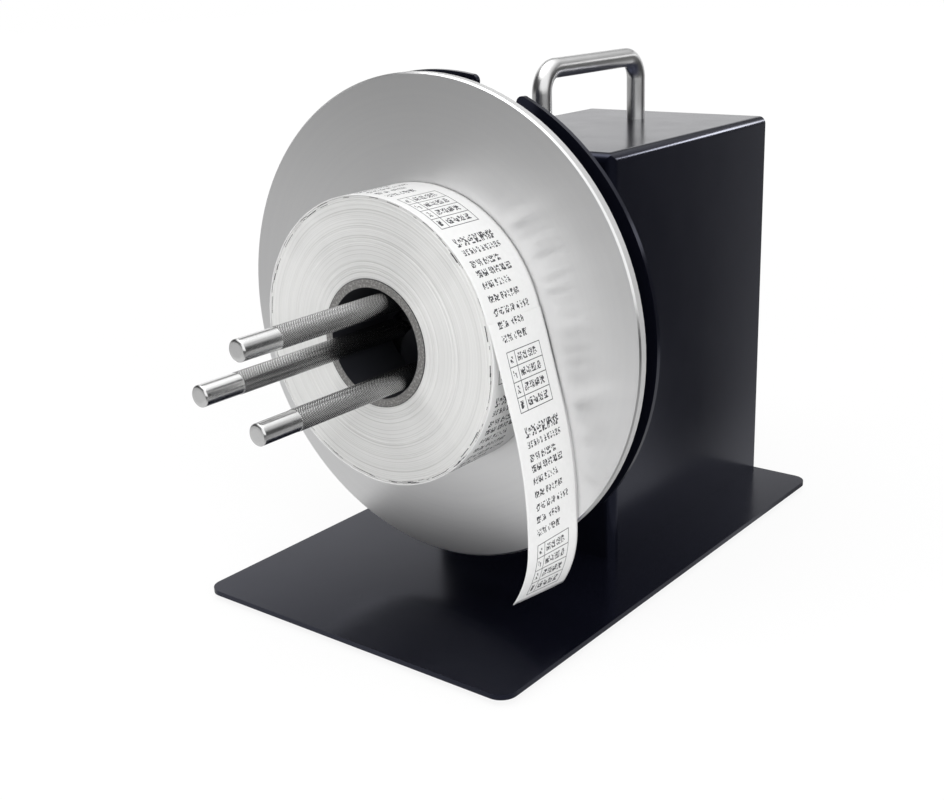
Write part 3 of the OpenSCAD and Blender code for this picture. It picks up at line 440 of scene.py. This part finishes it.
def on_axis(radius, angle, y):
    """Point at a radius and an angle round the spindle's axis."""
    a = math.radians(angle)
    return (radius * math.cos(a), y, AXIS_Z + radius * math.sin(a))


# Rods with a smooth end and a diamond knurl

# The tip's profile: how many mm behind the tip, and the radius there
ROD_NOSE = ((0.0, 0.0008), (0.0, 0.0026), (0.02, 0.0040), (0.12, 0.0042),
            (0.60, 0.00470), (0.72, 0.00478), (0.95, ROD_THIN_R))
SMOOTH_RINGS = 12
ROD_TAIL_R = ROD_R - 0.05 * MM  # behind the knurl
END_RING_R = 0.0026  # ring on the flat rear end


def rod_rings():
    """A rod's rings from front to back, as (y, radius, whether the knurl is cut there)."""
    nose = [(ROD_TIP + back * MM, radius, False) for back, radius in ROD_NOSE]
    first, last = nose[-1][0], KNURL_START - 0.04 * MM
    smooth = [(first + (last - first) * i / SMOOTH_RINGS, ROD_THIN_R, False)
              for i in range(1, SMOOTH_RINGS + 1)]
    count = round((KNURL_STOP - KNURL_START) / KNURL_STEP)
    knurl = [(KNURL_START + i * KNURL_STEP, ROD_R, True) for i in range(count + 1)]
    rear = [(KNURL_STOP + 0.4 * MM, ROD_TAIL_R, False), (ROD_END, ROD_TAIL_R, False),
            (ROD_END, END_RING_R, False)]
    return nose + smooth + knurl + rear


def knurled_rod(number, angle):
    """One rod. Crests and grooves alternate on a grid, so that each crest is a small pyramid."""
    rows = rod_rings()
    n = KNURL_AROUND
    centre_x, centre_z = rod_centre(angle)
    points, crests = [], []
    for j, (y, radius, knurled) in enumerate(rows):
        for i in range(n):
            crest = knurled and (i + j) % 2 == 0
            r = radius - (KNURL_DEPTH if knurled and not crest else 0.0)
            a = 2 * math.pi * i / n
            points.append((centre_x + r * math.cos(a), y, centre_z + r * math.sin(a)))
            crests.append(crest)
    faces = []
    for j in range(len(rows) - 1):
        for i in range(n):
            a, b = j * n + i, j * n + (i + 1) % n
            c, d = b + n, a + n
            if rows[j][2] and rows[j + 1][2]:
                # Split along the line between the two grooves
                if crests[a]:
                    faces += [(b, a, d), (b, d, c)]
                else:
                    faces += [(a, c, b), (a, d, c)]
            else:
                faces.append((a, d, c, b))
    tip = len(points)
    points += [(centre_x, ROD_TIP, centre_z), (centre_x, ROD_END, centre_z)]
    last = (len(rows) - 1) * n
    for i in range(n):
        faces.append((tip, i, (i + 1) % n))
        faces.append((tip + 1, last + (i + 1) % n, last + i))
    rod = piece(f"knurled_rod_{number}", points, faces, [KNURLED],
                f"core_rod_{number}", f"rod_{number}", smooth=False)
    clear = 0.1 * MM  # how far a face stays from the knurl to be shaded smooth
    for polygon in rod.data.polygons:
        ys = [rod.data.vertices[v].co.y for v in polygon.vertices]
        polygon.use_smooth = max(ys) < KNURL_START - clear or min(ys) > KNURL_STOP + clear


# Print on the strip, laid out once and repeated. u runs along the strip and v across it, in mm.

STRIP_W = 37.5
PERIOD = 86.2  # from one label to the next
FIRST_BOX = 13.4  # where a box starts on the loose end, from where it leaves the roll
LINE = 0.36  # width of the boxes' lines
MARGIN = 6.8  # from the strip's front edge to the print
BOX_ROW = 6.6
BOX_ROWS = 4
BOX_DIVIDER = MARGIN + 5.25
BOX_REAR = MARGIN + 23.4

# A greeked word is a field of small cells, some of them filled.
CELL = 0.50  # across the strip
CELL_ROWS = 6  # along the strip
FILLED = 0.54
WORD_STEP = 0.75  # words start and end on steps of this size across the strip

# Rows of words: start and height along the strip, then groups of words as
# (steps from the margin, steps in each word, words)
BOX_WORDS = (1.75, 3.4, [(2, 3, 1), (9, 4, 4)])  # in each row of the box, from its line
WORD_ROWS = [
    (33.0, 4.6, [(0, 5, 1), (6, 4, 1), (11, 4, 1), (16, 4, 1), (21, 5, 1), (27, 5, 1)]),
    (39.3, 2.9, [(0, 2, 5), (16, 2, 2), (22, 1, 1), (24, 2, 2), (30, 2, 1)]),
    (45.0, 3.2, [(0, 4, 2), (11, 4, 3)]),
    (49.8, 3.2, [(0, 4, 2), (11, 4, 4)]),
    (55.3, 3.1, [(0, 4, 2), (11, 2, 2), (17, 1, 1), (19, 2, 2)]),
    (61.3, 3.2, [(0, 4, 2), (11, 2, 4), (23, 4, 1)]),
    (67.4, 3.2, [(0, 4, 4), (21, 2, 4)]),
    (73.0, 3.1, [(0, 4, 2), (12, 2, 4)]),
    (79.0, 3.2, [(0, 4, 2), (11, 2, 1), (14, 4, 2)]),
]


def word_marks(start, height, groups, chance):
    """Filled cells of each word in a row, chosen at random."""
    step = height / CELL_ROWS
    marks = []
    for offset, size, count in groups:
        for k in range(count):
            v = MARGIN + WORD_STEP * (offset + k * (size + 1))
            for row in range(CELL_ROWS):
                for cell in range(round(WORD_STEP / CELL * size)):
                    if chance.random() < FILLED:
                        marks.append((start + row * step, start + (row + 1) * step,
                                      v + cell * CELL, v + (cell + 1) * CELL))
    return marks


def print_layout():
    """Marks of one repeat, as (from u, to u, from v, to v)."""
    chance = random.Random(5)
    marks = []
    for row in range(BOX_ROWS + 1):
        u = row * BOX_ROW
        marks.append((u, u + LINE, MARGIN, BOX_REAR + LINE))
    for v in (MARGIN, BOX_DIVIDER, BOX_REAR):
        marks.append((0.0, BOX_ROWS * BOX_ROW, v, v + LINE))
    start, height, groups = BOX_WORDS
    for row in range(BOX_ROWS):
        marks += word_marks(row * BOX_ROW + start, height, groups, chance)
    for start, height, groups in WORD_ROWS:
        marks += word_marks(start, height, groups, chance)
    return marks


LAYOUT = print_layout()

# Lines across the strip where the mesh is cut: each mark's sides, the strip's edges, and a grid
# that keeps the faces small
V_GRID = 1.5
V_LINES = sorted({V_GRID * k for k in range(int(STRIP_W / V_GRID) + 1)} | {STRIP_W}
                 | {round(v, 4) for mark in LAYOUT for v in mark[2:]})
NARROWEST = 0.02  # cuts along the strip that lie closer than this are one


def strip_lines(low, high, widest):
    """Places along the strip where the mesh is cut: at each mark's ends, and never further apart
    than widest."""
    cuts = {low, high}
    first = math.floor((low - FIRST_BOX) / PERIOD) - 1
    last = math.ceil((high - FIRST_BOX) / PERIOD) + 1
    for k in range(first, last + 1):
        for mark in LAYOUT:
            for u in mark[:2]:
                s = FIRST_BOX + k * PERIOD + u
                if low < s < high:
                    cuts.add(round(s, 4))
    ordered = sorted(cuts)
    kept = [ordered[0]]
    for s in ordered[1:]:
        start = kept[-1]
        if s - start < NARROWEST:
            continue
        parts = max(1, math.ceil((s - start) / widest))
        kept += [start + (s - start) * i / parts for i in range(1, parts + 1)]
    return kept


def inked(s, v):
    """Whether the strip carries ink at a place along and across it."""
    u = (s - FIRST_BOX) % PERIOD
    return any(m[0] <= u < m[1] and m[2] <= v < m[3] for m in LAYOUT)


# The print lies nearer the front edge on the roll than on the loose end.
DRIFT_END = 12.0  # place along the loose end from which it doesn't
DRIFT_RUN = 60.0  # length of strip over which it moves there
MOST_DRIFT = 2.6


def drift(s, v):
    """How far the print is moved across the strip. Each edge stays where it is."""
    share = min(1.0, max(0.0, (DRIFT_END - s) / DRIFT_RUN))
    return -share * min(0.38 * v, MOST_DRIFT - 0.077 * (v - MARGIN), 0.11 * (STRIP_W - v))


INSET = 0.10  # from the roll's front face to the strip's front edge
TRIM = 0.15  # how much narrower than STRIP_W the mesh is


def behind_front(s, v):
    """How far behind the roll's front face a place on the strip lies, in mm."""
    return INSET + (v + drift(s, v)) * (STRIP_W - TRIM) / STRIP_W


def printed_sheet(name, stations, across, outer, inner, closed, body, stands_for):
    """A thin closed sheet whose outer side is printed. outer(s, v) and inner(s, v) give its points.
    The inner side, which is plain, has points only at its edges."""
    n, m = len(stations), len(across)
    points = [outer(s, v) for s in stations for v in across]
    points += [inner(s, v) for s in stations for v in across[::m - 1]]
    inner_at = n * m
    faces, tones = [], []
    spans = n if closed else n - 1
    for i in range(spans):
        a, b = i, (i + 1) % n
        s_mid = (stations[i] + (stations[i + 1] if i + 1 < n else stations[i] + 0.5)) / 2
        for j in range(m - 1):
            faces.append((a * m + j, b * m + j, b * m + j + 1, a * m + j + 1))
            tones.append(1 if inked(s_mid, (across[j] + across[j + 1]) / 2) else 0)
        ia, ib = inner_at + 2 * a, inner_at + 2 * b
        faces += [(ia, ia + 1, ib + 1, ib), (a * m, ia, ib, b * m),
                  (a * m + m - 1, b * m + m - 1, ib + 1, ia + 1)]
        tones += [0, 0, 0]
    if not closed:
        for a, turned in ((0, False), (n - 1, True)):
            ring = [a * m + j for j in range(m)] + [inner_at + 2 * a + 1, inner_at + 2 * a]
            faces.append(tuple(ring[::-1] if turned else ring))
            tones.append(0)
    return piece(name, points, faces, [FINISHES["label_stock"], INK], body, stands_for,
                 tones)


# The roll: a body with its layers' edges, and the last turn of the printed strip

WRAP_IN_R = ROLL_R - 0.35 * MM
ARC = math.pi * ROLL_R / 180 / MM  # mm of strip for each degree of the roll
TURN_WIDEST = 1.3  # longest face of the last turn, in mm

ROLL_AROUND = 240  # points on each of the body's rings
ROLL_STEPS = 150  # steps from the core to the last turn
GROOVES = 20
SLACK_R = 64.6  # the layers outside this radius, in mm, stand back from the face
SLACK_DEPTH = 0.45
CORE_GAP = 0.35  # width of the slope beside the core, in mm

# Dark dashes, in the ink's colour, on the outermost layers' edges, between these radii in mm
SPECKS_IN, SPECKS_OUT = 64.5, 65.9
CROWDED_R = 64.9  # there are more of them inside this radius, on these shares of the turn
CROWDED = (0.30, 0.75)


def ragged(angle, seed, size):
    """How far a layer's edge stands off its mean, in mm."""
    a = math.radians(angle)
    slow = noise.noise(Vector((9 * math.cos(a), 9 * math.sin(a), seed)))
    fast = noise.noise(Vector((34 * math.cos(a), 34 * math.sin(a), seed + 3)))
    return size * slow + 0.5 * size * fast


def printed_wrap():
    """The last turn of the strip on the roll."""
    stations = strip_lines(-360 * ARC, 0.0, TURN_WIDEST)[:-1]

    def side(radius):
        def at(s, v):
            angle = LEAVE_ANGLE - s / ARC
            edge = ragged(angle, 2.0, 0.16) * (1 - v / STRIP_W)
            return on_axis(radius, angle, ROLL_FRONT + (behind_front(s, v) + edge) * MM)
        return at

    printed_sheet("roll_last_turn", stations, V_LINES, side(ROLL_R), side(WRAP_IN_R), True,
                  "roll", "label_roll")


def layered_roll():
    """The turns under the last one. Their edges stand at slightly different depths on the front."""
    around = ROLL_AROUND
    low, high = CORE_R / MM, WRAP_IN_R / MM - 0.03
    radii = [low + (high - low) * i / ROLL_STEPS for i in range(ROLL_STEPS + 1)]
    chance = random.Random(11)
    grooves = [(low + 1.5 + 33 * chance.random(), 0.05 + 0.16 * chance.random())
               for _ in range(GROOVES)]

    def depth(r, angle):
        """How far behind the front face a layer's edge lies, in mm."""
        a = math.radians(angle)
        seen = r + 0.22 * math.sin(a + 1.3) + 0.10 * math.sin(2 * a + 0.4)
        coarse = noise.noise(Vector((seen / 0.9, 0.3, 0)))
        fine = noise.noise(Vector((seen / 0.4, 5, 0)))
        d = 0.10 + 0.05 * coarse + 0.03 * fine
        for groove_r, deep in grooves:
            d += deep * math.exp(-((seen - groove_r) / 0.20) ** 2)
        past = r - SLACK_R
        if past > 0:
            d += SLACK_DEPTH * min(1.0, past / 0.25) + ragged(angle, 7.0 + 0.6 * past, 0.22)
        if r < low + CORE_GAP:
            d += 0.5 * (low + CORE_GAP - r)
        return max(0.0, d)

    angles = [360 * i / around for i in range(around)]
    points = [on_axis(r * MM, angle, ROLL_FRONT + depth(r, angle) * MM)
              for r in radii for angle in angles]
    points += [on_axis(r * MM, angle, ROLL_BACK) for r in (radii[-1], low) for angle in angles]
    rows = len(radii) + 2
    faces, tones = [], []
    specks = random.Random(3)
    for j in range(rows):
        top, under = j * around, (j + 1) % rows * around
        speckled = j < ROLL_STEPS and SPECKS_IN < radii[j] < SPECKS_OUT
        run = 0  # faces left of the present speck
        for i in range(around):
            k = (i + 1) % around
            faces.append((top + i, top + k, under + k, under + i))
            if speckled and run == 0:
                crowded = radii[j] < CROWDED_R and CROWDED[0] < i / around < CROWDED[1]
                if specks.random() < (0.22 if crowded else 0.05):
                    run = specks.randint(1, 5)
            tones.append(1 if run > 0 else 0)
            run = max(0, run - 1)
    piece("wound_roll", points, faces, [FACE_OF_ROLL, INK], "roll", "label_roll",
          tones)


# The loose end, which hangs. Its sizes are in mm.

TAIL_T = 0.24
TAIL_LIFT = 0.65  # from the roll's surface to the middle line where the strip leaves it
TAIL_RUNS = ((42, 0), (48, -14), (12, 0), (32, -34.3))  # length, and degrees that it turns there
TAIL_STEP = 0.5
TAIL_LENGTH = 130
TAIL_SLANT = 3.4  # how far the end's rear corner lies past its middle, and the front one before it
SLANT_START = 100
TAIL_WIDEST = 2.0  # longest face

# The loose end starts lower than its middle line, flush on the roll.
FLUSH_DROP = 0.46
FLUSH_RUN = 16.0

# The front edge curls in and down towards the end.
CURL_START = 92
CURL_RUN = 34.5
CURL_IN = 3.9
CURL_DOWN = 2.0


def tail_path():
    """Middle line of the loose end as (s, x, z, heading), in mm and degrees from straight down."""
    r = ROLL_R / MM + TAIL_LIFT
    a = math.radians(LEAVE_ANGLE)
    x, z, heading = r * math.cos(a), AXIS_Z / MM + r * math.sin(a), LEAVE_ANGLE
    path, s = [(0.0, x, z, heading)], 0.0
    for length, turn in TAIL_RUNS:
        steps = round(length / TAIL_STEP)
        for _ in range(steps):
            share = turn / steps
            mid = math.radians(heading + share / 2)
            x, z = x + TAIL_STEP * math.sin(mid), z - TAIL_STEP * math.cos(mid)
            heading += share
            s += TAIL_STEP
            path.append((s, x, z, heading))
    return path


TAIL_PATH = tail_path()


def tail_point(s, v, offset):
    """Point of the loose end, at an offset outwards from its middle line."""
    slant = TAIL_SLANT * (2 * v / STRIP_W - 1)
    s += slant * max(0.0, (s - SLANT_START) / (TAIL_LENGTH - SLANT_START))
    index = min(len(TAIL_PATH) - 2, max(0, int(s / TAIL_STEP)))
    a, b = TAIL_PATH[index], TAIL_PATH[index + 1]
    share = (s - a[0]) / TAIL_STEP
    x, z, heading = (a[k] + (b[k] - a[k]) * share for k in (1, 2, 3))
    off = offset - FLUSH_DROP * (1 - min(1.0, s / FLUSH_RUN)) ** 2
    h = math.radians(heading)
    curl = (1 - v / STRIP_W) * max(0.0, (s - CURL_START) / CURL_RUN) ** 2
    return ((x + off * math.cos(h) - CURL_IN * curl) * MM,
            ROLL_FRONT + behind_front(s, v) * MM,
            (z + off * math.sin(h) - CURL_DOWN * curl) * MM)


def loose_end():
    stations = strip_lines(0.0, float(TAIL_LENGTH), TAIL_WIDEST)
    tail = printed_sheet("printed_loose_end", stations, V_LINES,
                         lambda s, v: tail_point(s, v, TAIL_T / 2),
                         lambda s, v: tail_point(s, v, -TAIL_T / 2), False,
                         "loose_end", "label_tail")


# Studio

PALE = 0.88  # the floor's own colour
FLOOR_SIDE = 12.0
ROOM_LIGHT = 0.60  # what the room sheds on dull surfaces


def bearing(tree, x, y):
    """Share of the room's right side in a direction, and how far back that direction points."""
    return ranged(tree, x, 0.0, 1.0, 0.02, 0.14), calc(tree, "DIVIDE", y, flat_length(tree, x, y))


def studio_world():
    """White to the camera, and plain light to dull surfaces. Glossy ones mirror a room of light
    and dark walls under a bright ceiling."""
    world = bpy.data.worlds.new("studio")
    bpy.context.scene.world = world
    world.use_nodes = True
    tree = world.node_tree
    path = put(tree, "LightPath").outputs
    coords = put(tree, "TexCoord").outputs["Generated"]
    x, y, z = put(tree, "SeparateXYZ", {0: coords}).outputs
    side, back = bearing(tree, x, y)

    # Left side: light at the back, dark at the front and higher up
    left = ranged(tree, y, 0.05, 1.0, -0.10, 0.45)
    height = calc(tree, "ADD", z, calc(tree, "MULTIPLY", y, 0.35))
    left = calc(tree, "MULTIPLY", left, ranged(tree, height, 1.0, 0.08, 0.64, 0.69))

    # Right side: light at the front, dark at the back but for the back's middle and a high wall
    right = calc(tree, "MAXIMUM", ranged(tree, back, 0.03, 0.60, 0.885, 0.955),
                 ranged(tree, back, 1.10, 0.03, 0.10, 0.50))
    wall = calc(tree, "MULTIPLY", ranged(tree, z, 0.0, 0.75, 0.27, 0.58),
                ranged(tree, back, 1.0, 0.5, 0.70, 0.85))
    right = calc(tree, "MAXIMUM", right, wall)

    # Over both: light high at the back, and the ceiling
    mirrored = mix_numbers(tree, side, left, right)
    height = calc(tree, "ADD", z, calc(tree, "MULTIPLY", y, 0.60))
    mirrored = calc(tree, "MAXIMUM", mirrored, ranged(tree, height, 0.0, 0.9, 0.99, 1.05))
    mirrored = calc(tree, "MAXIMUM", mirrored, ranged(tree, z, 0.0, 1.3, 0.64, 0.78))

    lit = mix(tree, path["Is Diffuse Ray"], mirrored, grey(ROOM_LIGHT))
    lit = mix(tree, path["Is Camera Ray"], lit, grey(1.0))
    tree.links.new(lit, tree.nodes["Background"].inputs["Color"])


def studio_floor():
    """White to the camera, with a soft shadow. Glossy rays see it darken away from the object."""
    half = FLOOR_SIDE / 2
    mesh = bpy.data.meshes.new("floor")
    mesh.from_pydata([(-half, -half, 0), (half, -half, 0), (half, half, 0), (-half, half, 0)], [],
                     [(0, 1, 2, 3)])
    floor = bpy.data.objects.new("floor", mesh)
    bpy.context.scene.collection.objects.link(floor)
    made = bpy.data.materials.new("floor")
    made.use_nodes = True
    tree = made.node_tree
    tree.nodes.clear()
    path = put(tree, "LightPath").outputs
    x, y, _ = own_xyz(tree)
    distance = flat_length(tree, x, y)
    side, back = bearing(tree, x, y)

    # What glossy rays see on the right: a patch near the object, and the back's middle
    near = calc(tree, "MINIMUM", ranged(tree, back, 0.30, 0.54, 0.30, 0.65),
                ranged(tree, back, 0.54, 0.05, 0.75, 0.84))
    near = calc(tree, "MULTIPLY", near, ranged(tree, distance, 1.0, 0.1, 0.46, 0.60))
    right = calc(tree, "MAXIMUM", ranged(tree, back, 0.05, 0.62, 0.875, 0.95), near)

    # And on the left: darker in two steps away from the object
    left = calc(tree, "MINIMUM", ranged(tree, distance, 1.05, 0.66, 0.17, 0.25),
                ranged(tree, distance, 0.66, 0.50, 0.44, 0.68))
    mirrored = mix_numbers(tree, side, left, right)
    strength = mix(tree, path["Is Glossy Ray"], grey(1.02), mirrored)
    glow = put(tree, "Emission", {"Color": strength}).outputs[0]

    # The camera sees the lit floor near the object, for its shadow, and plain white further out
    far = calc(tree, "MULTIPLY", path["Is Camera Ray"],
               ranged(tree, distance, 0.86, 1.0, 0.45, 1.2))
    seen = calc(tree, "MAXIMUM", path["Is Glossy Ray"], path["Is Transmission Ray"])
    lit = put(tree, "BsdfDiffuse", {"Color": grey(PALE)}).outputs[0]
    both = put(tree, "MixShader", {0: calc(tree, "MAXIMUM", far, seen), 1: lit, 2: glow})
    put(tree, "OutputMaterial", {"Surface": both.outputs[0]})
    mesh.materials.append(made)


def softbox(name, place, aim, size, power, mirrored=True, diffuse=True):
    """A rectangular lamp that looks at aim. mirrored says whether it shows in reflections, and
    diffuse whether it lights dull surfaces."""
    data = bpy.data.lights.new(name, "AREA")
    data.shape = "RECTANGLE"
    data.size, data.size_y = size
    data.energy = power
    lamp = bpy.data.objects.new(name, data)
    bpy.context.scene.collection.objects.link(lamp)
    lamp.location = place
    lamp.rotation_mode = "QUATERNION"
    lamp.rotation_quaternion = (Vector(aim) - Vector(place)).to_track_quat("-Z", "Y")
    lamp.visible_camera = False
    lamp.visible_glossy = mirrored
    lamp.visible_diffuse = diffuse
    return lamp


def edge_strip():
    """A small lamp that the box's near top edge mirrors. It reaches nothing else."""
    strip = softbox("edge_strip", (0.1129, 0.2134, 0.2412), (0.058, 0.100, 0.2095),
                    (0.11, 0.024), 0.0027, diffuse=False)
    strip.data.spread = math.radians(30)
    lights = bpy.data.collections.new("edge_strip_lights")
    lights.objects.link(frame["nodes"]["housing_shell"])
    strip.light_linking.receiver_collection = lights


# The camera, fitted to the photograph
CAMERA_PLACE = (0.389946, -0.515308, 0.299536)
CAMERA_BEARING = 38.690  # degrees round to the machine's right
CAMERA_DIP = 18.402  # degrees downwards
CAMERA_ROLL = -2.110
CAMERA_LENS = 50.64


def studio_camera():
    data = bpy.data.cameras.new("camera")
    data.sensor_width = 36.0
    data.lens = CAMERA_LENS
    data.clip_start = 0.02
    data.clip_end = 50.0
    camera = bpy.data.objects.new("camera", data)
    bpy.context.scene.collection.objects.link(camera)
    aim = Euler((math.radians(90 - CAMERA_DIP), 0, math.radians(CAMERA_BEARING))).to_matrix()
    turn = aim @ Matrix.Rotation(math.radians(CAMERA_ROLL), 3, "Z")
    camera.matrix_world = Matrix.Translation(CAMERA_PLACE) @ turn.to_4x4()
    bpy.context.scene.camera = camera


def studio():
    bpy.context.scene.view_settings.view_transform = "Standard"
    studio_world()
    studio_floor()
    middle = (0, 0, 0.12)
    softbox("overhead", (-0.1, -0.1, 1.5), middle, (1.3, 1.3), 8.0)
    softbox("front_left", (-1.0, -1.3, 0.9), middle, (1.0, 1.0), 5.0, mirrored=False)
    softbox("front_right", (1.3, -0.7, 0.9), middle, (1.0, 1.0), 10.0, mirrored=False)
    softbox("back_right", (0.95, 1.85, 0.74), (0.05, 0.05, 0.15), (0.8, 0.30), 1.1)
    edge_strip()
    studio_camera()


finish_cad_nodes()
for number, angle in enumerate(ROD_ANGLES, 1):
    knurled_rod(number, angle)
layered_roll()
printed_wrap()
loose_end()
studio()
